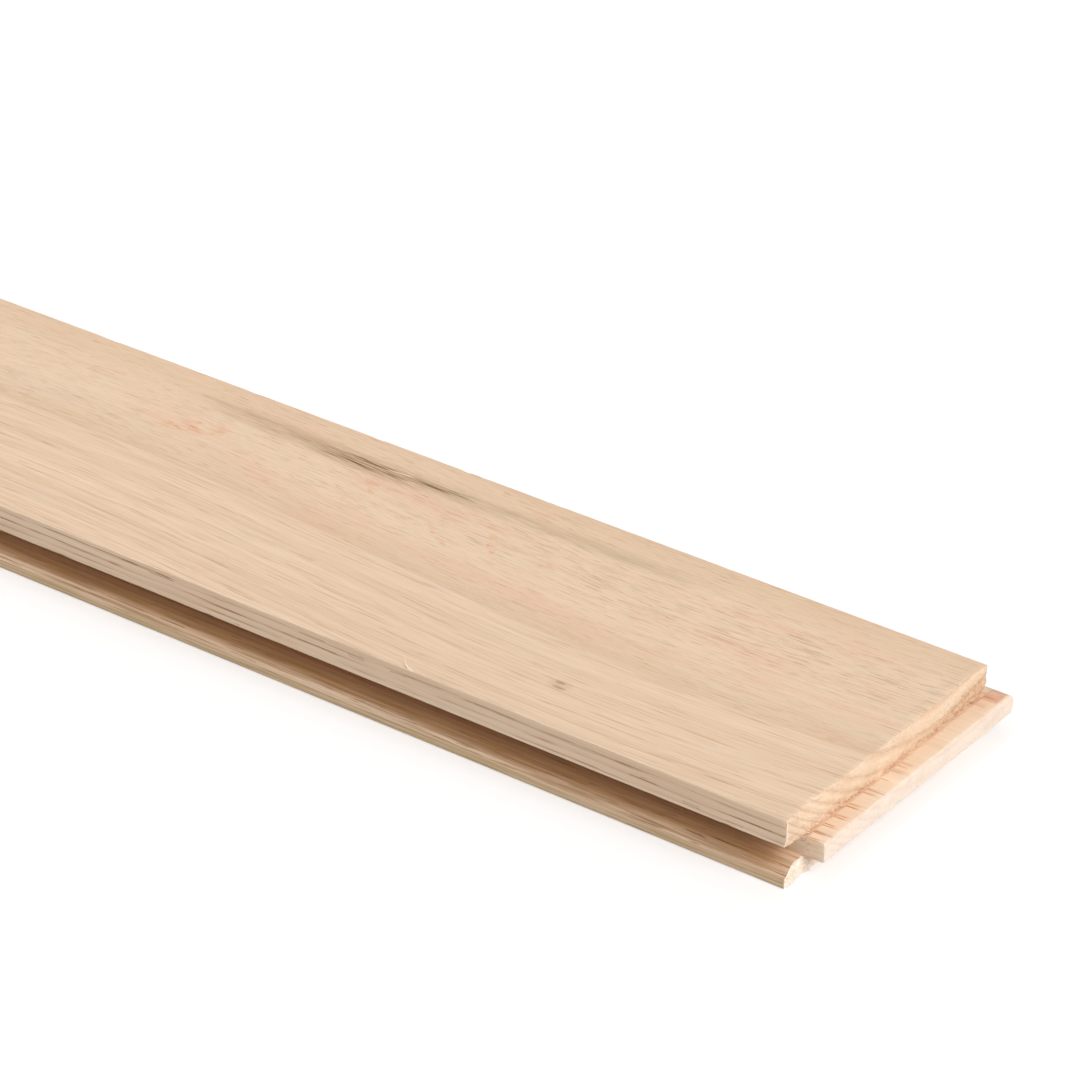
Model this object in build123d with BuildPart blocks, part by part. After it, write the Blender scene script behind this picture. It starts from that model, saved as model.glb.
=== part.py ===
import os

from build123d import *

# A strip of solid oak flooring, milled from one piece of wood and left unfinished.
# It lies face up along X, with a groove along its near side and left end, and a tongue
# along its far side and right end. The origin is on the floor, under the middle of the board.

# Face of the board and its thickness, in millimetres
face_length = 609.6
face_width = 82.55
thickness = 19.05

# Tongue, on the far side and the right end
tongue_reach = 4.76
tongue_thickness = 5.2
tongue_height = 5.6
side_nose_upper_radius = 2.2
side_nose_lower_radius = 1.4
end_nose_radius = 0.5

# Shoulder above the tongue, which leans back so that the face edges close tight
shoulder_depth = 4.5
shoulder_undercut = 0.6

# Groove, on the near side and the left end, which takes the tongue of the next board
groove_depth = 8.0
groove_clearance = 0.25
upper_lip = 7.14
lower_lip = 2.7
lower_lip_bevel = 4.0

# Below the tongue and groove the edges stand back from the face, and their arrises are eased
lower_setback = 1.0
lower_ease = 0.5

# Hollow back, planed between two rails that carry the board
back_rail = 15.0
hollow_depth = 1.2
hollow_slope = 45

overall_length = face_length + tongue_reach
overall_width = face_width + tongue_reach
tongue_top = tongue_height + tongue_thickness
groove_bottom = tongue_height - groove_clearance
groove_top = tongue_top + groove_clearance


def matched_section(face_span):
    """Section across the board, with its groove on the left and its tongue on the right."""
    groove_edge = -(face_span + tongue_reach) / 2
    groove_root = groove_edge + groove_depth
    lip_edge = groove_edge + lower_setback
    tongue_edge = groove_edge + face_span
    tongue_tip = tongue_edge + tongue_reach
    back_edge = tongue_edge - lower_setback

    with BuildSketch() as section:
        with BuildLine():
            Polyline(
                (groove_edge, thickness),
                (groove_edge, thickness - upper_lip),
                (groove_root, groove_top),
                (groove_root, groove_bottom),
                (lip_edge + lower_lip_bevel, groove_bottom),
                (lip_edge, lower_lip),
                (lip_edge, 0),
                (back_edge, 0),
                (back_edge, tongue_height),
                (tongue_tip, tongue_height),
                (tongue_tip, tongue_top),
                (tongue_edge - shoulder_undercut, tongue_top),
                (tongue_edge, thickness - shoulder_depth),
                (tongue_edge, thickness),
                close=True,
            )
        make_face()
    return section.sketch


with BuildPart() as floorboard:
    # Moulded sides and hollow back, run along the board and past both of its ends
    hollow_width = face_width - 2 * (lower_setback + back_rail)
    with BuildSketch(Plane.YZ):
        add(matched_section(face_width))
        with Locations((-tongue_reach / 2, 0)):
            Trapezoid(
                hollow_width,
                hollow_depth,
                hollow_slope,
                align=(Align.CENTER, Align.MIN),
                mode=Mode.SUBTRACT,
            )
    extrude(amount=overall_length, both=True)

    # Moulded ends, cut right across the board with the same groove and tongue
    with BuildSketch(Plane.XZ):
        add(matched_section(face_length))
    extrude(amount=overall_width, both=True, mode=Mode.INTERSECT)

    # Rounded nose of the side tongue, fuller above so that it enters the groove at a tilt
    upper_nose = floorboard.edges().filter_by(Axis.X).group_by(Axis.Y)[-1].sort_by(Axis.Z)[-1]
    fillet(upper_nose, side_nose_upper_radius)
    lower_nose = floorboard.edges().filter_by(Axis.X).group_by(Axis.Y)[-1].sort_by(Axis.Z)[0]
    fillet(lower_nose, side_nose_lower_radius)

    # Nose of the end tongue, only eased
    fillet(floorboard.faces().sort_by(Axis.X)[-1].edges().filter_by(Axis.Y), end_nose_radius)

    # Outer arrises of the two rails
    rail_edges = floorboard.edges().group_by(Axis.Z)[0]
    rail_sides = rail_edges.filter_by(Axis.X).sort_by(Axis.Y)
    fillet(rail_edges.filter_by(Axis.Y) + [rail_sides[0], rail_sides[-1]], lower_ease)

floorboard.part.label = "floorboard"

os.makedirs("parts", exist_ok=True)
export_step(floorboard.part, "parts/floorboard.step")
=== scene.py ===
import math

import bmesh
import bpy
import numpy as np
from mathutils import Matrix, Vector, noise


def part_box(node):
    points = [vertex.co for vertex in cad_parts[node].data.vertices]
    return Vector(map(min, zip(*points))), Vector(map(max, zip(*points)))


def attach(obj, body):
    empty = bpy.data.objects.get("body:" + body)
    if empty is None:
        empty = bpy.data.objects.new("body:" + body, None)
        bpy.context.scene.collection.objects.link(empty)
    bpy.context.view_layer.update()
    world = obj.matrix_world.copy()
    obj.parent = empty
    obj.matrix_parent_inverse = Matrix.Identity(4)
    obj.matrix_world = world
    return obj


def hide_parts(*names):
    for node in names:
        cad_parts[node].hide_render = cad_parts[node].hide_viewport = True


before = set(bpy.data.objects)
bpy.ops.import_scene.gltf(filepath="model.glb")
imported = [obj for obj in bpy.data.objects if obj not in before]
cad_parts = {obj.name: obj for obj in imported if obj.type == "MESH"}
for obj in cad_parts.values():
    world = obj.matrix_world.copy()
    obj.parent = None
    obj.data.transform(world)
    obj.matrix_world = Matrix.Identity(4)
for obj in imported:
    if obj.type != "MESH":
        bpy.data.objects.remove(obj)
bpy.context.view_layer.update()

# The board
# One strip of flat-sawn oak, planed on its face, with a tongue and a groove run along its sides
# and across its ends. It left the mill bare: its edges are crisp with a few small chips,
# and its end grain is torn where the cutters crossed the fibres.

MM = 0.001
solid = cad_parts["floorboard"]
board_low, board_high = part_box("floorboard")

# Sizes of the tongue and groove, as milled
tongue_reach = 4.76 * MM
tongue_top = 10.8 * MM
tongue_bottom = 5.6 * MM
face_end = board_high.x - tongue_reach
groove_side = board_low.y

# Wear of the edges
sharp_turn = math.radians(25)
arris_ease = 0.12 * MM
arris_wave = 3 * MM
chip_wave = 3.5 * MM
chip_start = 0.34
chip_growth = 6
corner_calm = 1.5 * MM

# Spacing of the cuts that let the edges and the end grain vary
station_spacing = 1.2 * MM
end_zone = 3 * MM
end_spacing = 0.42 * MM
clear_of_arris = 0.28 * MM


def touching(faces):
    """The faces with their edges and corners, as one list without repeats."""
    edges = {edge for face in faces for edge in face.edges}
    corners = {corner for face in faces for corner in face.verts}
    return list(corners) + list(edges) + list(faces)


def sliced(bm, faces, axis, places):
    """Cuts faces with planes square to one axis, from the lowest plane up, and gives their pieces."""
    below = []
    above = list(faces)
    normal = Vector((0, 0, 0))
    normal[axis] = 1
    for place in places:
        result = bmesh.ops.bisect_plane(
            bm, geom=touching(above), dist=1e-7, plane_co=normal * place, plane_no=normal
        )
        pieces = [part for part in result["geom"] if isinstance(part, bmesh.types.BMFace)]
        below += [face for face in pieces if face.calc_center_median()[axis] <= place]
        above = [face for face in pieces if face.calc_center_median()[axis] > place]
    return below + above


def steps(low, high, spacing, keep_off=()):
    """Even places between two ends, with none on the ends or close to the places to keep off."""
    count = max(2, round((high - low) / spacing))
    places = [low + (high - low) * k / count for k in range(1, count)]
    return [place for place in places if all(abs(place - other) > clear_of_arris for other in keep_off)]


bm = bmesh.new()
bm.from_mesh(solid.data)
bmesh.ops.remove_doubles(bm, verts=bm.verts, dist=0.002 * MM)
bmesh.ops.dissolve_limit(bm, angle_limit=math.radians(1), verts=bm.verts, edges=bm.edges)

# Crisp edges of the solid, noted before they are eased
arrises = [edge for edge in bm.edges if edge.is_convex and edge.calc_face_angle(0) > sharp_turn]
arris_lines = [(edge.verts[0].co.copy(), edge.verts[1].co.copy()) for edge in arrises]
bmesh.ops.bevel(
    bm,
    geom=arrises,
    offset=arris_ease,
    segments=2,
    profile=0.5,
    affect="EDGES",
    clamp_overlap=True,
)

# Stations along the board, then a finer net over both ends
sliced(bm, bm.faces[:], 0, steps(board_low.x, board_high.x, station_spacing))
for zone_low, zone_high in ((board_low.x, board_low.x + end_zone), (face_end - end_zone, board_high.x)):
    zone = [face for face in bm.faces if zone_low < face.calc_center_median().x < zone_high]
    for axis in (1, 2):
        level_lines = [line for line in arris_lines if abs(line[0][axis] - line[1][axis]) < 0.01 * MM]
        keep_off = {line[0][axis] for line in level_lines}
        zone = sliced(bm, zone, axis, steps(board_low[axis], board_high[axis], end_spacing, keep_off))

# Each corner's nearest crisp edge, and its place along that edge
corners = np.array([vert.co for vert in bm.verts])
gaps = np.full(len(corners), np.inf)
feet = np.zeros((len(corners), 3))
along_edge = np.zeros(len(corners))
edge_left = np.zeros(len(corners))
edge_number = np.zeros(len(corners), int)
for number, (start, stop) in enumerate(arris_lines):
    run = np.array(stop - start)
    reach = np.linalg.norm(run)
    share = ((corners - np.array(start)) @ run / reach**2).clip(0, 1)
    foot = np.array(start) + share[:, None] * run
    gap = np.linalg.norm(corners - foot, axis=1)
    nearer = gap < gaps
    gaps[nearer] = gap[nearer]
    feet[nearer] = foot[nearer]
    along_edge[nearer] = share[nearer] * reach
    edge_left[nearer] = (1 - share[nearer]) * reach
    edge_number[nearer] = number

# Eased and chipped edges: the rounding grows and shrinks along each of them
bm.verts.ensure_lookup_table()
for index in np.flatnonzero(gaps < 1.5 * arris_ease):
    vert = bm.verts[index]
    edge_foot = Vector(feet[index])
    calm = min(1, min(along_edge[index], edge_left[index]) / corner_calm)
    seat = Vector((edge_number[index] * 7.3, 0, 0))
    wave = noise.noise(edge_foot / arris_wave + seat)
    chip = noise.noise(edge_foot / chip_wave - seat)
    growth = 0.45 * wave + chip_growth * max(0, chip - chip_start)
    vert.co = edge_foot + (vert.co - edge_foot) * (1 + growth * calm)


def smooth(value, low, high):
    """Rises smoothly from 0 to 1 as the value goes from low to high."""
    share = min(1, max(0, (value - low) / (high - low)))
    return share * share * (3 - 2 * share)


# Growth rings round a pith that lies above the face, in millimetres. They narrow towards the bark,
# and the line of one of them runs along the middle of the face.
pith_across = 16
pith_height = 94
line_radius = 79.75
line_ring_width = 5.0
ring_narrowing = 1.0618
end_sweep = 2.3


def ring_at(radius):
    """Counts the rings from the line along the face: whole numbers lie on ring lines."""
    return (ring_narrowing ** (radius - line_radius) - 1) / (math.log(ring_narrowing) * line_ring_width)


# Sizes of the tear. The deepest stays well short of the depth of the finer net
lump_size = 1.9 * MM
shred_size = 0.55 * MM
patch_size = 7 * MM
ridge_fall = 0.42
deepest_tear = 1.2 * MM


def ridge_height(across):
    """Height of the ridge that the tear left on the end, which falls away from the grooved side."""
    return board_high.z - ridge_fall * (across - groove_side)


def torn(place, seat=0):
    """How deep the cutters tore the end here: most in early wood, at the root and above the ridge."""
    flat = Vector((seat, place.y, place.z))
    lumps = noise.fractal(flat / lump_size, 1, 2, 3)
    fine = noise.noise(flat / shred_size + Vector((5, 0, 0)))
    patches = noise.noise(flat / patch_size + Vector((9, 0, 0)))
    radius = math.hypot(place.y / MM - pith_across - end_sweep, place.z / MM - pith_height)
    early = 1 - smooth(ring_at(radius + 0.5 * lumps) % 1, 0.15, 0.6)
    early *= smooth(place.z, tongue_bottom, tongue_top)
    off_corner = 0.3 + 0.7 * smooth(place.y, groove_side, groove_side + 2.5 * MM)
    depth = 0.12 + off_corner * (0.1 * lumps + 0.05 * fine + 0.34 * early * (0.7 + patches))
    root = (1 - smooth(place.z, tongue_top + 0.4 * MM, tongue_top + 3 * MM)) * (place.z > tongue_bottom)
    depth += root * max(0, 0.25 + 0.7 * patches + 0.35 * lumps)
    lower_lip = 1 - smooth(place.z, tongue_bottom - 0.8 * MM, tongue_bottom + 0.2 * MM)
    depth += lower_lip * max(0, 0.1 + 0.3 * lumps + 0.08 * fine)
    crown = smooth(place.z, board_high.z - 1.3 * MM, board_high.z)
    near_corner = 1 - smooth(place.y, groove_side + 8 * MM, groove_side + 20 * MM)
    depth += crown * max(0, 0.2 * patches + 0.9 * lumps) * (0.4 + 0.6 * near_corner)
    above_ridge = max(0, place.z - ridge_height(place.y)) / MM + 0.6 * lumps
    depth += 0.22 * near_corner * max(0, above_ridge)
    return deepest_tear * math.tanh(depth * MM / deepest_tear)


# Torn ends: the end faces and the last few millimetres behind them are drawn back unevenly
tongue_start = face_end + 0.2 * MM
for vert in bm.verts:
    if vert.co.x > tongue_start:
        share = smooth(vert.co.x, board_high.x - 2 * MM, board_high.x - 0.4 * MM)
        vert.co.x -= 0.28 * share * torn(vert.co, 0.03)
    elif vert.co.x > face_end - end_zone:
        vert.co.x -= smooth(vert.co.x, face_end - end_zone, face_end - 0.9 * MM) * torn(vert.co)
    elif vert.co.x < board_low.x + end_zone:
        share = 1 - smooth(vert.co.x, board_low.x, board_low.x + end_zone)
        vert.co.x += 0.8 * share * torn(vert.co, 0.06)

board_mesh = bpy.data.meshes.new("oak_board")
bm.normal_update()
bm.to_mesh(board_mesh)
bm.free()
board_mesh.polygons.foreach_set("use_smooth", [True] * len(board_mesh.polygons))
board_mesh.set_sharp_from_angle(angle=math.radians(24))
board = bpy.data.objects.new("oak_board", board_mesh)
bpy.context.scene.collection.objects.link(board)


class Wire:
    """A node socket that works in sums: each operator adds the Math node that does it."""

    def __init__(self, tree, socket=None):
        self.tree = tree
        self.socket = socket

    def node(self, kind, settings, inputs, output=0):
        """Adds a node with its settings and its sockets' values or links, and gives one output."""
        made = self.tree.nodes.new(kind)
        for name, value in settings.items():
            setattr(made, name, value)
        for name, value in inputs.items():
            if isinstance(value, Wire):
                self.tree.links.new(value.socket, made.inputs[name])
            else:
                made.inputs[name].default_value = value
        return Wire(self.tree, made.outputs[output])

    def output(self, name):
        """Another output of the node that this socket belongs to."""
        return Wire(self.tree, self.socket.node.outputs[name])

    def maths(self, operation, *values):
        """A Math node on the given values."""
        return self.node("ShaderNodeMath", {"operation": operation}, dict(enumerate(values)))

    def __add__(self, other):
        return self.maths("ADD", self, other)

    def __radd__(self, other):
        return self.maths("ADD", other, self)

    def __sub__(self, other):
        return self.maths("SUBTRACT", self, other)

    def __rsub__(self, other):
        return self.maths("SUBTRACT", other, self)

    def __mul__(self, other):
        return self.maths("MULTIPLY", self, other)

    def __rmul__(self, other):
        return self.maths("MULTIPLY", other, self)

    def __truediv__(self, other):
        return self.maths("DIVIDE", self, other)

    def __pow__(self, other):
        return self.maths("POWER", self, other)

    def __rpow__(self, other):
        return self.maths("POWER", other, self)

    def __abs__(self):
        return self.maths("ABSOLUTE", self)


def colour(red, green, blue):
    """A colour given as a screen shows it, 0 to 255, turned into the shader's linear values."""
    levels = [level / 255 for level in (red, green, blue)]
    linear = [s / 12.92 if s <= 0.04045 else ((s + 0.055) / 1.055) ** 2.4 for s in levels]
    return (*linear, 1)


oak = bpy.data.materials.new("bare_oak")
oak.use_nodes = True
oak_shader = oak.node_tree.nodes["Principled BSDF"]
wood = Wire(oak.node_tree)

# Place in the log, in millimetres
in_log = wood.node(
    "ShaderNodeVectorMath",
    {"operation": "MULTIPLY"},
    {0: wood.node("ShaderNodeTexCoord", {}, {}, "Object"), 1: (1 / MM,) * 3},
)
x = wood.node("ShaderNodeSeparateXYZ", {}, {0: in_log}, "X")
y = x.output("Y")
z = x.output("Z")


def between(value, low, high):
    """Rises smoothly from 0 to 1 as the value goes from low to high."""
    inputs = {"Value": value, "From Min": low, "From Max": high}
    return wood.node("ShaderNodeMapRange", {"interpolation_type": "SMOOTHSTEP"}, inputs)


# Which way the surface faces, to tell end grain from long grain
facing = wood.node("ShaderNodeTexCoord", {}, {}, "Normal")
facing_x = wood.node("ShaderNodeSeparateXYZ", {}, {0: facing}, "X")
end_grain = between(abs(facing_x), 0.55, 0.75)
up_facing = between(facing_x.output("Z"), 0.6, 0.9)
planed_face = between(z, 18.2, 18.9) * up_facing
milled_side = (1 - planed_face) * (1 - end_grain)
past_end = x - face_end / MM
from_side = y - groove_side / MM
from_end = x - board_low.x / MM
end_tongue = between(past_end, -0.7, 0) * (1 - end_grain)

# The same place with the grain laid straight: on the face the fibres sweep from side to side
sweep_reach = 4.6
sweep_turn = 239
sweep_run = 60
straight_side = milled_side * (1 - end_tongue)
sweep = sweep_reach * (1 - wood.maths("COSINE", (x - sweep_turn) / sweep_run)) * (1 - straight_side)
in_grain = wood.node("ShaderNodeCombineXYZ", {}, {"X": x, "Y": y - sweep, "Z": z})


def stretched(where, along, across, seat):
    """The place scaled down along and across the grain, and shifted so that patterns differ."""
    scale = (1 / along, 1 / across, 1 / across)
    inputs = {0: where, 1: scale, 2: (seat, seat * 1.7, seat * 2.3)}
    return wood.node("ShaderNodeVectorMath", {"operation": "MULTIPLY_ADD"}, inputs)


def mottle(along, across, seat, detail=2, where=in_grain):
    """Soft noise between about -0.5 and 0.5, drawn out along the grain."""
    inputs = {"Vector": stretched(where, along, across, seat), "Scale": 1, "Detail": detail}
    return wood.node("ShaderNodeTexNoise", {}, inputs) - 0.5


def blend(share, first, second):
    """Mixes two colours by a share."""
    settings = {"data_type": "RGBA", "clamp_factor": True}
    return wood.node("ShaderNodeMix", settings, {0: share, 6: first, 7: second}, 2)


# The growth rings, which sweep with the grain and rise and fall a little along the board
crest_rise = 0.5
crest_turn = 270
crest_run = 70
crest = -crest_rise * wood.maths("COSINE", (x - crest_turn) / crest_run)
off_across = y - (pith_across + sweep)
off_height = z - (pith_height + crest)
sway = 0.7 * mottle(150, 26, 7) + 0.22 * mottle(30, 3, 9)
radius = (off_across * off_across + off_height * off_height) ** 0.5 + sway
ring = ring_at(radius)
growth_share = wood.maths("FRACT", ring)
ring_number = wood.maths("FLOOR", ring)


def ring_strength(seat):
    """A number between 0 and 1 for each ring."""
    return wood.node("ShaderNodeTexWhiteNoise", {"noise_dimensions": "1D"}, {"W": ring_number + seat})


late_wood = between(growth_share, 0.3, 1.0) * ring_strength(2101)
early_strength = ring_strength(2004)
early_wood = (1 - between(growth_share, 0.05, 0.3)) * early_strength
porous_band = (1 - between(growth_share, 0.1, 0.45)) * (0.4 + 0.6 * early_strength)

# Open vessels: long thin tubes, crowded in the early wood
wander = wood.node(
    "ShaderNodeCombineXYZ", {}, {"Y": 0.8 * mottle(40, 5, 11, 1), "Z": 0.8 * mottle(40, 5, 13, 1)}
)
wandering = wood.node("ShaderNodeVectorMath", {"operation": "ADD"}, {0: in_grain, 1: wander})


def vessels(length, width, seat, crowd):
    """Dashes along the grain, dots across it. The crowd is the share of them that shows."""
    inputs = {"Vector": stretched(wandering, length, width, seat), "Scale": 1}
    distance = wood.node("ShaderNodeTexVoronoi", {"distance": "CHEBYCHEV"}, inputs)
    chance = wood.node("ShaderNodeSeparateColor", {}, {0: distance.output("Color")})
    shown = wood.maths("LESS_THAN", chance, crowd)
    return shown * (1 - between(distance, 0.17, 0.23))


def patchy(along, across, seat, low=-0.1, high=0.12):
    """Patches drawn out along the grain, 0 outside them and 1 inside."""
    return between(mottle(along, across, seat, 3), low, high)


# The wood on each side of the ring line along the face, and the marks of its vessels and fibres
inside = 1 - between(radius, line_radius - 0.4, line_radius + 0.1)
outside = 1 - inside
bared = 1 - 0.6 * planed_face - 0.65 * end_grain
large_vessels = vessels(20, 0.5, 21, 0.02 + 0.6 * early_wood) * bared
small_vessels = vessels(12, 0.4, 23, 0.06 + 0.5 * early_wood) * bared
fine_lines = between(mottle(20, 0.36, 52, 2, wandering), 0.14, 0.24) * planed_face * outside
short_lines = mottle(6, 0.34, 27, 2, wandering)
long_lines = mottle(26, 0.36, 28, 2, wandering)
lines = inside * short_lines + outside * long_lines
fibres = mottle(14, 0.35, 26, 3)
silk = mottle(90, 1.1, 29, 3)
bands = mottle(300, 5, 30, 1)
clouds = mottle(60, 11, 31, 3)
dashes = patchy(5, 0.3, 33)
streaks = patchy(16, 0.3, 34, -0.08, 0.08)
gappy = patchy(12, 1.5, 35)

# Clear wood with pinker and paler clouds, and a darker strip along the far edge of the face
pale_oak = colour(229, 201, 172)
pink_cloud = colour(228, 191, 165)
pale_cloud = colour(226, 201, 178)
far_strip = colour(221, 190, 160)
clear_wood = blend(between(clouds, -0.05, 0.2) * (0.25 + 0.55 * inside), pale_oak, pink_cloud)
clear_wood = blend(between(clouds, 0.0, -0.25) * 0.45, clear_wood, pale_cloud)
clear_wood = blend(between(y, 26, 32) * planed_face * 0.55, clear_wood, far_strip)

# Ring lines: fine broken ones on the planed face, and rows of dashes on the milled sides
line_brown = colour(158, 98, 54)
fine_line_brown = colour(148, 94, 58)
row_brown = colour(152, 106, 70)
ring_pull = 0.05 * inside + 0.15 * outside
marked = between(lines + ring_pull * early_wood, 0.07, 0.17) * planed_face * (0.18 + 0.15 * gappy)
side_rows = porous_band * milled_side * (0.4 + 0.6 * gappy) * (0.1 + 0.9 * streaks)
timber = blend(marked, clear_wood, line_brown)
timber = blend(fine_lines * (0.14 + 0.2 * gappy), timber, fine_line_brown)
timber = blend(side_rows * (1 - end_tongue), timber, row_brown)

# The end tongue: pale towards its front, with orange rows between brown edges where rings cross it
tongue_pale = colour(236, 214, 192)
row_orange = colour(220, 156, 108)
row_edge_brown = colour(160, 98, 58)
far_edge_red = colour(198, 134, 98)
timber = blend(end_tongue * (0.3 + 0.3 * between(past_end, 2.4, 4.2)), timber, tongue_pale)
tongue_rows = between(early_strength, 0.3, 0.6) * end_tongue * (1 - 0.8 * between(past_end, 1.8, 3.6))
timber = blend(tongue_rows * (1 - between(growth_share, 0.24, 0.32)) * 0.45, timber, row_orange)
row_edges = 2 - between(growth_share, 0.05, 0.09) - between(abs(growth_share - 0.26), 0.02, 0.06)
timber = blend(tongue_rows * row_edges * (0.2 + 0.6 * dashes), timber, row_edge_brown)
far_edge = end_tongue * between(y, 36.6, 37.4) * (1 - between(past_end, 3.4, 4.4))
timber = blend(far_edge * (0.35 + 0.45 * dashes), timber, far_edge_red)

# Open vessels, brown inside
vessel_brown = colour(140, 94, 58)
timber = blend(large_vessels * 0.7, timber, vessel_brown)
timber = blend(small_vessels * 0.6, timber, vessel_brown)


def squared(value):
    """A value times itself."""
    return value * value


def oval(along, across, half_length, half_width, lean=0):
    """A soft oval spot on the face. The lean slants it across the grain."""
    off_spot = y - across - lean * (x - along)
    away = squared((x - along) / half_length) + squared(off_spot / half_width)
    return (1 - between(away, 0.1, 1)) * planed_face


# Warm flecks on the face, where small buds healed over
fleck_orange = colour(218, 146, 100)
flecks = 1.3 * oval(80, 15.5, 12, 5, 0.4) + 0.6 * oval(134, 15, 5, 11)
flecks = flecks + 1.7 * oval(162.5, 9.7, 6.5, 1.8, -0.66) + 1.7 * oval(176, 14.3, 4.5, 3, -1.4)
flecks = flecks + 0.7 * oval(192, 13.5, 4.5, 4) + 0.6 * oval(109, 5.5, 5, 2) + 0.7 * oval(225, 9.5, 8, 2.6)
flecks = flecks + 0.6 * oval(251, 25, 6, 4) + 0.5 * oval(215, -10, 10, 1.4) + 0.5 * oval(178, 32.6, 6, 3)
flecks = flecks + 0.5 * oval(127.5, -34, 4, 9) + 0.5 * oval(290, 7, 6, 2)
flecks = flecks * patchy(5, 2.2, 38, -0.14, 0.16)
timber = blend(flecks * (0.14 + 0.7 * patchy(3, 0.36, 37, 0.0, 0.14)), timber, fleck_orange)

# A mineral streak: dark strands drawn out along the grain, with an olive tail
streak_grey = colour(172, 142, 108)
tail_olive = colour(176, 153, 117)
core_brown = colour(110, 80, 50)
glint_cream = colour(238, 218, 194)
bent = y + 1.2 * mottle(26, 8, 39) + 0.6 * mottle(6, 2, 40)
feather = patchy(8, 0.24, 41, -0.12, 0.1)


def strand(start, start_across, stop, stop_across, half_width, soft):
    """A line along the grain of the face from one place to another. It fades in and out at its ends."""
    run = between(x, start, start + soft) * (1 - between(x, stop - soft, stop))
    line_across = start_across + (x - start) * ((stop_across - start_across) / (stop - start))
    return run * (1 - between(abs(bent - line_across), 0.15 * half_width, half_width)) * planed_face


halo = 0.65 * strand(62, 28, 176, 27.6, 4.8, 40) + 0.35 * strand(66, 30.5, 100, 29, 1, 10)
halo = halo + 0.5 * strand(104, 25.2, 146, 24, 2.2, 14) + 0.4 * strand(98, 27.2, 158, 27.4, 3, 22)
timber = blend(halo * (0.3 + 0.7 * feather), timber, streak_grey)
tail = strand(138, 27.6, 240, 28.4, 4, 34)
timber = blend(0.55 * tail * (0.4 + 0.6 * feather), timber, tail_olive)
core = strand(111, 26.6, 143, 25.2, 1.5, 10) + strand(117, 28.6, 140, 28, 1.1, 7)
core = core + strand(136, 27.3, 163, 28.6, 1.7, 10)
timber = blend(core * (0.12 + 0.68 * feather), timber, core_brown)
timber = blend(0.75 * strand(132, 27.5, 141.5, 28.8, 0.5, 3.5), timber, glint_cream)

# A pin knot: two small brown dots in a faint stain
stain_tan = colour(196, 164, 130)
knot_brown = colour(116, 88, 58)
timber = blend(0.3 * oval(228, -28, 4, 3), timber, stain_tan)
knot_dots = oval(227.5, -27.1, 1.8, 0.7) + oval(228.4, -28.9, 2.4, 0.7)
timber = blend(knot_dots * (0.25 + 0.3 * feather), timber, knot_brown)

# Painted shade inside the grooves: their walls are darkened brown where the lips shade them, less so
# towards the open end
groove_shade_brown = colour(174, 126, 74)
side_groove_shade = between(from_side, 0.8, 3.2) * (1 - between(from_side, 8.2, 8.6))
side_groove_shade = side_groove_shade * (1 - 0.45 * between(from_side, 4.6, 6))
end_groove_shade = between(from_end, 0.8, 3.2) * (1 - between(from_end, 8.2, 8.6))
groove_shade = wood.maths("MAXIMUM", side_groove_shade, end_groove_shade) * between(z, 2.9, 4.4)
groove_shade = groove_shade * (1 - between(z, 11.7, 11.95)) * (1 - between(past_end, -9, 0.5))
timber = blend(groove_shade * 0.75, timber, groove_shade_brown)

# Streaks and dashes on the lower lip, and a painted highlight along the upper lip's top and bottom edges
lip_brown = colour(160, 118, 78)
foot_olive = colour(188, 162, 120)
dash_brown = colour(106, 68, 36)
lip_edge_highlight_cream = colour(246, 230, 210)
lower_lip = between(z, 2.2, 2.9) * (1 - between(z, 4.8, 5.6)) * milled_side
lower_lip = lower_lip * (1 - between(from_side, 5.5, 7))
lip_streaks = patchy(26, 0.8, 42, -0.12, 0.16)
timber = blend(lower_lip * (0.05 + 0.65 * lip_streaks), timber, lip_brown)
lip_foot = (1 - between(z, 2.0, 2.7)) * (1 - between(from_side, 1.5, 2.5)) * milled_side
timber = blend(lip_foot * (0.3 + 0.5 * lip_streaks), timber, foot_olive)
lip_dashes = patchy(8, 0.4, 51, 0.08, 0.2) * lower_lip * (0.5 + 0.5 * between(past_end, -70, -5))
timber = blend(lip_dashes * 0.75, timber, dash_brown)
# Painted highlight where the upper lip's edges catch the light
lip_edge_highlight = between(abs(z - 15.5), 3.0, 3.5) * (1 - between(from_side, 0.4, 0.9)) * milled_side
timber = blend(lip_edge_highlight * (0.15 + 0.4 * patchy(14, 2, 44)), timber, lip_edge_highlight_cream)

# End grain: tan porous bands, a brown tear at the far side of the end, pale bruised wood on the tongue,
# painted light on the bruised end of the lower lip, which is painted paler still, and a painted highlight
# along the near corner
porous_tan = colour(202, 160, 125)
tear_brown = colour(190, 147, 108)
tongue_cream = colour(231, 213, 197)
lip_end_lit_cream = colour(242, 228, 213)
corner_highlight_cream = colour(240, 222, 203)
mealy = patchy(0.8, 0.8, 43)
timber = blend(end_grain * porous_band * (0.5 + 0.2 * mealy), timber, porous_tan)
over_tear = z - 12.4 - 4.4 * between(y, 14, 34) + 3 * mottle(2.5, 2.5, 49, 3)
far_tear = between(y, 6, 26) * (1 - between(over_tear, -1.4, 1.2))
timber = blend(end_grain * far_tear * (0.25 + 0.5 * mealy), timber, tear_brown)
# Painted light: the end of the lower lip gets a paler cream than the tongue's front, so that it looks
# brightly lit
lip_end = 1 - between(z, 5.0, 5.7)
bruised_and_lit = between(past_end, 2.5, 3.4) + lip_end
timber = blend(end_grain * bruised_and_lit * 0.9, timber, blend(lip_end, tongue_cream, lip_end_lit_cream))
# Painted highlight on the near corner, where the edge catches the light
corner_highlight = (1 - between(from_side, 0.25, 0.6)) * end_grain * between(z, 11.5, 12)
timber = blend(corner_highlight * 0.7, timber, corner_highlight_cream)
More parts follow.
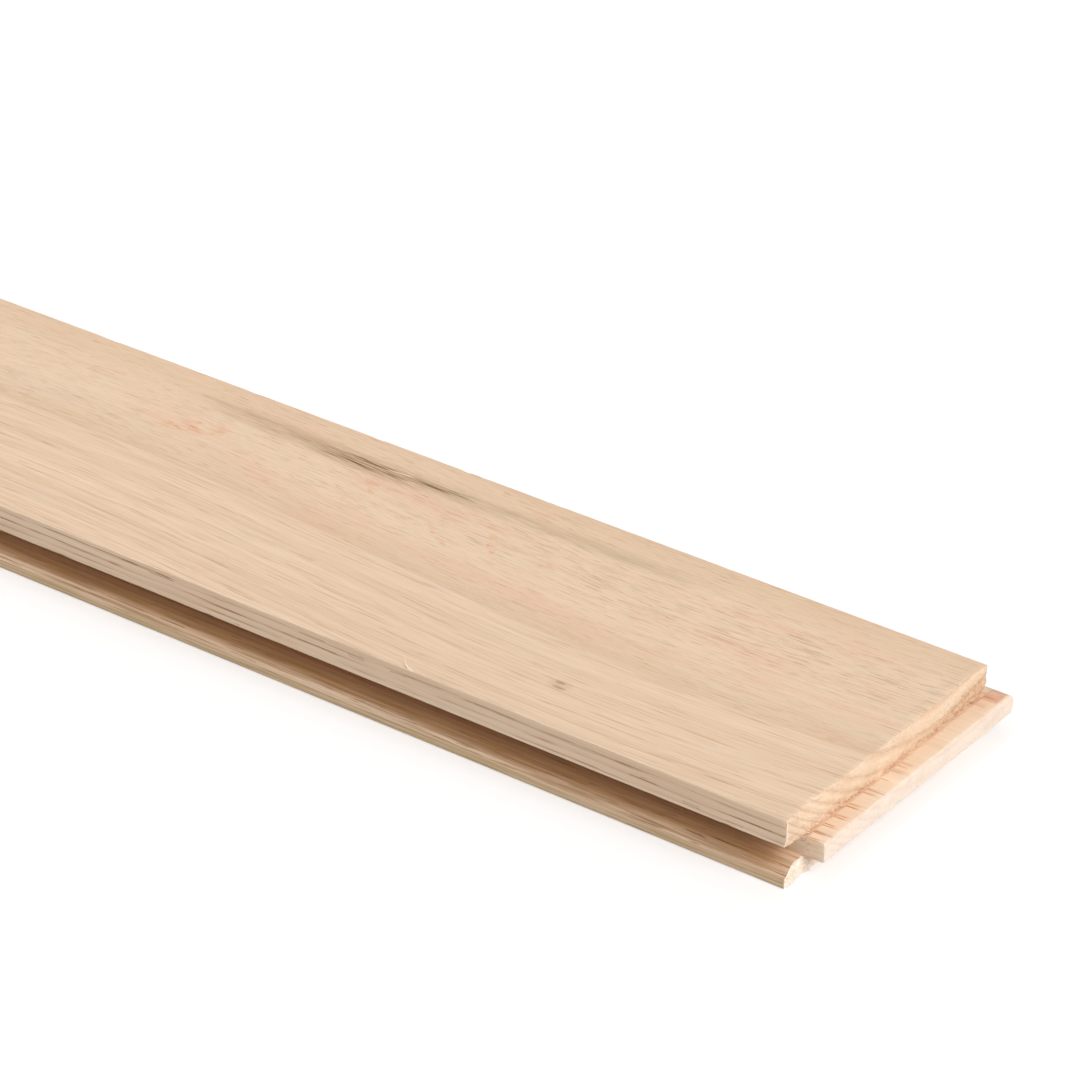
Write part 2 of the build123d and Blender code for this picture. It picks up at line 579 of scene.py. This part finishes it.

# Torn wood at the root of the end tongue: a ragged brown line with gaps, torn wood with the painted shade
# of the crease in it, and reddish wood above it
root_red = colour(212, 156, 122)
root_crease_shade_brown = colour(172, 116, 80)
ragged = past_end + 1.4 * mottle(0.5, 0.6, 45, 3)
at_root = patchy(6, 3, 46, -0.15, 0.05) * between(z, 10.4, 10.7)
root_foot = at_root * end_grain * (1 - between(z + 1.5 * mottle(1, 1, 50, 3), 11.3, 12.6))
timber = blend(root_foot * 0.4, timber, root_red)
# Painted shade in the crease at the foot of the shoulder, mixed with torn wood
root_crease_shade = at_root * (1 - between(ragged, -0.3, 0.1)) * (1 - between(z, 11, 11.6))
root_crease_shade = root_crease_shade * between(past_end, -2, -1) * (0.3 + 0.7 * dashes)
timber = blend(root_crease_shade * 0.5, timber, root_crease_shade_brown)

# Light and dark of the fibres, and of the darker wood that ends each year's growth
tone = 0.32 * fibres + (0.1 + 0.03 * outside) * silk + (0.06 + 0.13 * outside) * bands
tone = tone - 0.1 * late_wood * (1 - 0.6 * end_grain)
shade = wood.node("ShaderNodeCombineXYZ", {}, {"X": 1 + 0.8 * tone, "Y": 1 + tone, "Z": 1 + 1.3 * tone})
timber = wood.node("ShaderNodeVectorMath", {"operation": "MULTIPLY"}, {0: timber, 1: shade})

# Relief: open vessels, raised fibres, a rough end, and the knife marks of the planer on the back
knife_pitch = 2.1
torn_fuzz = mottle(0.6, 0.35, 47, 3)
knife_marks = wood.maths("SINE", x * (2 * math.pi / knife_pitch)) * (1 - between(z, 0.2, 1.6))
height = 0.03 * fibres - 0.05 * large_vessels - 0.01 * early_wood
rough_end = end_grain * (1 - 0.8 * bruised_and_lit)
lumpy = (0.3 + 0.25 * between(y, 12, 28)) * mottle(1.4, 1.1, 48)
height = height + rough_end * (0.2 * torn_fuzz + lumpy - 0.26 * porous_band)
height = height + 0.006 * knife_marks
relief = wood.node("ShaderNodeBump", {}, {"Height": height, "Distance": MM, "Strength": 0.8})
dullness = 0.7 + 0.15 * fibres + 0.12 * end_grain
oak.node_tree.links.new(timber.socket, oak_shader.inputs["Base Color"])
oak.node_tree.links.new(dullness.socket, oak_shader.inputs["Roughness"])
oak.node_tree.links.new(relief.socket, oak_shader.inputs["Normal"])
oak_shader.inputs["Specular IOR Level"].default_value = 0.25
board_mesh.materials.append(oak)
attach(board, "root")
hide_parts("floorboard")

# Torn fibres
# Slivers of oak that the cutters pulled out of the end grain and left hanging. They stand at the
# root of the end tongue, along the ridge of the tear and on the ends of both lips.

fibre_length = 0.9 * MM
fibre_thickness = 0.07 * MM
fibre_spread = math.radians(26)
fibres_per_area = 1.6 / MM**2
lip_depth = 13 * MM
lip_bottom = 0.8 * MM
lip_rise = 2.2 * MM
root_rise = 1.3 * MM
ridge_half = 0.5 * MM
below_face = 1.2 * MM


def sheds_fibres(polygon):
    """Says whether a face of the end grain is one that the cutters left ragged."""
    place = polygon.center
    if polygon.normal.x < 0.4 or place.x < face_end - end_zone or place.x > tongue_start:
        return False
    at_root = tongue_top < place.z < tongue_top + root_rise
    at_lower_lip = lip_bottom < place.z < tongue_bottom and place.y < groove_side + lip_depth
    at_upper_lip = place.z < tongue_top + lip_rise and place.y < groove_side + lip_depth
    at_ridge = abs(place.z - ridge_height(place.y)) < ridge_half and place.z < board_high.z - below_face
    return at_root or at_lower_lip or at_upper_lip or at_ridge


ragged_faces = [list(polygon.vertices) for polygon in board_mesh.polygons if sheds_fibres(polygon)]
ragged_corners = sorted({corner for face in ragged_faces for corner in face})
new_number = {corner: number for number, corner in enumerate(ragged_corners)}
ragged_mesh = bpy.data.meshes.new("torn_fibres")
ragged_mesh.from_pydata(
    [board_mesh.vertices[corner].co for corner in ragged_corners],
    [],
    [[new_number[corner] for corner in face] for face in ragged_faces],
)
fibre_piece = bpy.data.objects.new("torn_fibres", ragged_mesh)
bpy.context.scene.collection.objects.link(fibre_piece)

sliver_tan = colour(228, 200, 172)
sliver_cream = colour(240, 224, 206)
fibre_oak = bpy.data.materials.new("torn_oak")
fibre_oak.use_nodes = True
fibre_shader = fibre_oak.node_tree.nodes["Principled BSDF"]
fuzz = Wire(fibre_oak.node_tree)
fuzz_place = fuzz.node(
    "ShaderNodeVectorMath",
    {"operation": "MULTIPLY"},
    {0: fuzz.node("ShaderNodeTexCoord", {}, {}, "Object"), 1: (0.4 / MM, 1.2 / MM, 1.2 / MM)},
)
fuzz_noise = fuzz.node("ShaderNodeTexNoise", {}, {"Vector": fuzz_place, "Scale": 1, "Detail": 2})
fuzz_colour = fuzz.node(
    "ShaderNodeMix",
    {"data_type": "RGBA"},
    {0: fuzz_noise, 6: sliver_tan, 7: sliver_cream},
    2,
)
fibre_oak.node_tree.links.new(fuzz_colour.socket, fibre_shader.inputs["Base Color"])
fibre_shader.inputs["Roughness"].default_value = 0.85
fibre_shader.inputs["Specular IOR Level"].default_value = 0.2

fibre_tree = bpy.data.node_groups.new("torn_fibres", "GeometryNodeTree")
fibre_tree.interface.new_socket(name="Ragged faces", in_out="INPUT", socket_type="NodeSocketGeometry")
fibre_sizes = {
    "Fibres per area": fibres_per_area,
    "Length": fibre_length,
    "Thickness": fibre_thickness,
}
fibre_sockets = {
    name: fibre_tree.interface.new_socket(name=name, in_out="INPUT", socket_type="NodeSocketFloat")
    for name in fibre_sizes
}
fibre_tree.interface.new_socket(name="Fibres", in_out="OUTPUT", socket_type="NodeSocketGeometry")
tuft = Wire(fibre_tree)
tuft_inputs = tuft.node("NodeGroupInput", {}, {}, "Ragged faces")
fibre_roots = tuft.node(
    "GeometryNodeDistributePointsOnFaces",
    {"distribute_method": "RANDOM"},
    {"Mesh": tuft_inputs, "Density": tuft_inputs.output("Fibres per area"), "Seed": 11},
    "Points",
)
sliver = tuft.node(
    "GeometryNodeMeshCone",
    {},
    {
        "Vertices": 5,
        "Side Segments": 2,
        "Radius Top": tuft_inputs.output("Thickness") * 0.15,
        "Radius Bottom": tuft_inputs.output("Thickness"),
        "Depth": tuft_inputs.output("Length"),
    },
    "Mesh",
)
fibre_turn = tuft.node(
    "FunctionNodeRandomValue",
    {"data_type": "FLOAT_VECTOR"},
    {
        0: (-1.5, math.pi / 2 - fibre_spread, -fibre_spread),
        1: (1.5, math.pi / 2 + fibre_spread, fibre_spread),
        "Seed": 12,
    },
)
fibre_scale = tuft.node(
    "FunctionNodeRandomValue",
    {"data_type": "FLOAT_VECTOR"},
    {0: (0.4, 0.4, 0.3), 1: (1.0, 2.2, 1.3), "Seed": 13},
)
planted = tuft.node(
    "GeometryNodeInstanceOnPoints",
    {},
    {"Points": fibre_roots, "Instance": sliver, "Rotation": fibre_turn, "Scale": fibre_scale},
)
grown = tuft.node("GeometryNodeRealizeInstances", {}, {0: planted})
finished = tuft.node("GeometryNodeSetMaterial", {}, {"Geometry": grown, "Material": fibre_oak})
fibre_output = fibre_tree.nodes.new("NodeGroupOutput")
fibre_tree.links.new(finished.socket, fibre_output.inputs[0])
fibre_modifier = fibre_piece.modifiers.new("torn_fibres", "NODES")
fibre_modifier.node_group = fibre_tree
for name, value in fibre_sizes.items():
    fibre_modifier[fibre_sockets[name].identifier] = value
evaluated = fibre_piece.evaluated_get(bpy.context.evaluated_depsgraph_get())
fibre_mesh = bpy.data.meshes.new_from_object(evaluated)
fibre_piece.modifiers.clear()
fibre_piece.data = fibre_mesh
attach(fibre_piece, "root")

# Splinter
# One pale sliver of the board's own oak that lifted off the grooved edge of the face.
# Its foot is still part of the edge.

splinter_line = [
    Vector((face_end - 105.4 * MM, groove_side + 0.2 * MM, board_high.z - 0.12 * MM)),
    Vector((face_end - 107.6 * MM, groove_side - 0.05 * MM, board_high.z + 0.05 * MM)),
    Vector((face_end - 109.1 * MM, groove_side + 1.9 * MM, board_high.z + 1.5 * MM)),
]
splinter_rings = 9
splinter_half_width = 0.3 * MM
splinter_half_thickness = 0.09 * MM
splinter = bmesh.new()
last_ring = None
for step in range(splinter_rings + 1):
    share = step / splinter_rings
    first = splinter_line[0].lerp(splinter_line[1], share)
    second = splinter_line[1].lerp(splinter_line[2], share)
    middle = first.lerp(second, share)
    heading = (second - first).normalized()
    flat_way = heading.cross(Vector((0, -0.5, 1))).normalized()
    thin_way = heading.cross(flat_way)
    taper = 1 - 0.9 * share
    wide = flat_way * splinter_half_width * taper
    thin = thin_way * splinter_half_thickness * taper
    corner_places = (middle + wide, middle + thin, middle - wide, middle - thin)
    new_ring = [splinter.verts.new(place) for place in corner_places]
    if last_ring:
        for k in range(4):
            splinter.faces.new((last_ring[k], last_ring[k - 1], new_ring[k - 1], new_ring[k]))
    else:
        splinter.faces.new(new_ring)
    last_ring = new_ring
splinter.faces.new(last_ring)
bmesh.ops.recalc_face_normals(splinter, faces=splinter.faces)
splinter_mesh = bpy.data.meshes.new("edge_splinter")
splinter.to_mesh(splinter_mesh)
splinter.free()
splinter_mesh.materials.append(fibre_oak)
splinter_piece = bpy.data.objects.new("edge_splinter", splinter_mesh)
bpy.context.scene.collection.objects.link(splinter_piece)
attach(splinter_piece, "root")

# Floor
# A plain white sheet that the board lies on. It keeps the board's soft shadow.

floor_half = 20
floor_grey = 0.74
floor_mesh = bpy.data.meshes.new("floor")
floor_mesh.from_pydata(
    [
        (-floor_half, -floor_half, 0),
        (floor_half, -floor_half, 0),
        (floor_half, floor_half, 0),
        (-floor_half, floor_half, 0),
    ],
    [],
    [(0, 1, 2, 3)],
)
floor = bpy.data.objects.new("floor", floor_mesh)
bpy.context.scene.collection.objects.link(floor)
paper = bpy.data.materials.new("white_paper")
paper.use_nodes = True
paper_shader = paper.node_tree.nodes["Principled BSDF"]
sheet = Wire(paper.node_tree)
ray = sheet.node("ShaderNodeLightPath", {}, {}, "Is Camera Ray")
mirrored = sheet.maths("MAXIMUM", ray.output("Is Glossy Ray"), ray.output("Is Transmission Ray"))
seen = sheet.maths("MAXIMUM", ray, mirrored)
glow = sheet.node(
    "ShaderNodeMix",
    {"data_type": "RGBA"},
    {0: seen, 6: (0, 0, 0, 1), 7: (1 - floor_grey, 1 - floor_grey, 1 - floor_grey, 1)},
    2,
)
paper.node_tree.links.new(glow.socket, paper_shader.inputs["Emission Color"])
paper_shader.inputs["Emission Strength"].default_value = 1
paper_shader.inputs["Base Color"].default_value = (floor_grey, floor_grey, floor_grey, 1)
paper_shader.inputs["Roughness"].default_value = 1
paper_shader.inputs["Specular IOR Level"].default_value = 0
floor_mesh.materials.append(paper)

# Light
# A broad soft lamp from the tongue end, and a white surround that is brightest overhead.

towards_lamp = Vector((0.76, -0.2, 0.6))
sun = bpy.data.lights.new("soft_key", "SUN")
sun.energy = 0.88 * math.pi
sun.angle = math.radians(40)
key = bpy.data.objects.new("soft_key", sun)
key.rotation_mode = "QUATERNION"
key.rotation_quaternion = towards_lamp.to_track_quat("Z", "Y")
bpy.context.scene.collection.objects.link(key)
world = bpy.data.worlds.new("white_surround")
world.use_nodes = True
world.node_tree.nodes["Background"].inputs["Color"].default_value = (1, 1, 1, 1)
sky = Wire(world.node_tree)
upwards = sky.node("ShaderNodeTexCoord", {}, {}, "Generated")
upwards = sky.maths("MAXIMUM", sky.node("ShaderNodeSeparateXYZ", {}, {0: upwards}, "Z"), 0)
sky_ray = sky.node("ShaderNodeLightPath", {}, {}, "Is Camera Ray")
sky_mirrored = sky.maths("MAXIMUM", sky_ray.output("Is Glossy Ray"), sky_ray.output("Is Transmission Ray"))
sky_seen = sky.maths("MAXIMUM", sky_ray, sky_mirrored)
sky_strength = sky_seen + (1 - sky_seen) * (0.04 + 0.7 * upwards)
world.node_tree.links.new(sky_strength.socket, world.node_tree.nodes["Background"].inputs["Strength"])
bpy.context.scene.world = world

# Camera
# It looks down on the tongue end and the grooved side through a long lens.

lens_px = 4784.7
frame_px = 1080
camera_data = bpy.data.cameras.new("camera")
camera_data.sensor_width = 36
camera_data.lens = lens_px / frame_px * camera_data.sensor_width
camera_data.clip_end = 100
camera = bpy.data.objects.new("camera", camera_data)
camera_yaw = math.radians(36.89)
camera_pitch = math.radians(30.16)
camera.location = (face_end + 485.6 * MM, groove_side - 738.1 * MM, 603.5 * MM)
camera.rotation_euler = (math.pi / 2 - camera_pitch, 0, camera_yaw)
bpy.context.scene.collection.objects.link(camera)
bpy.context.scene.camera = camera

bpy.context.scene.view_settings.view_transform = "Standard"
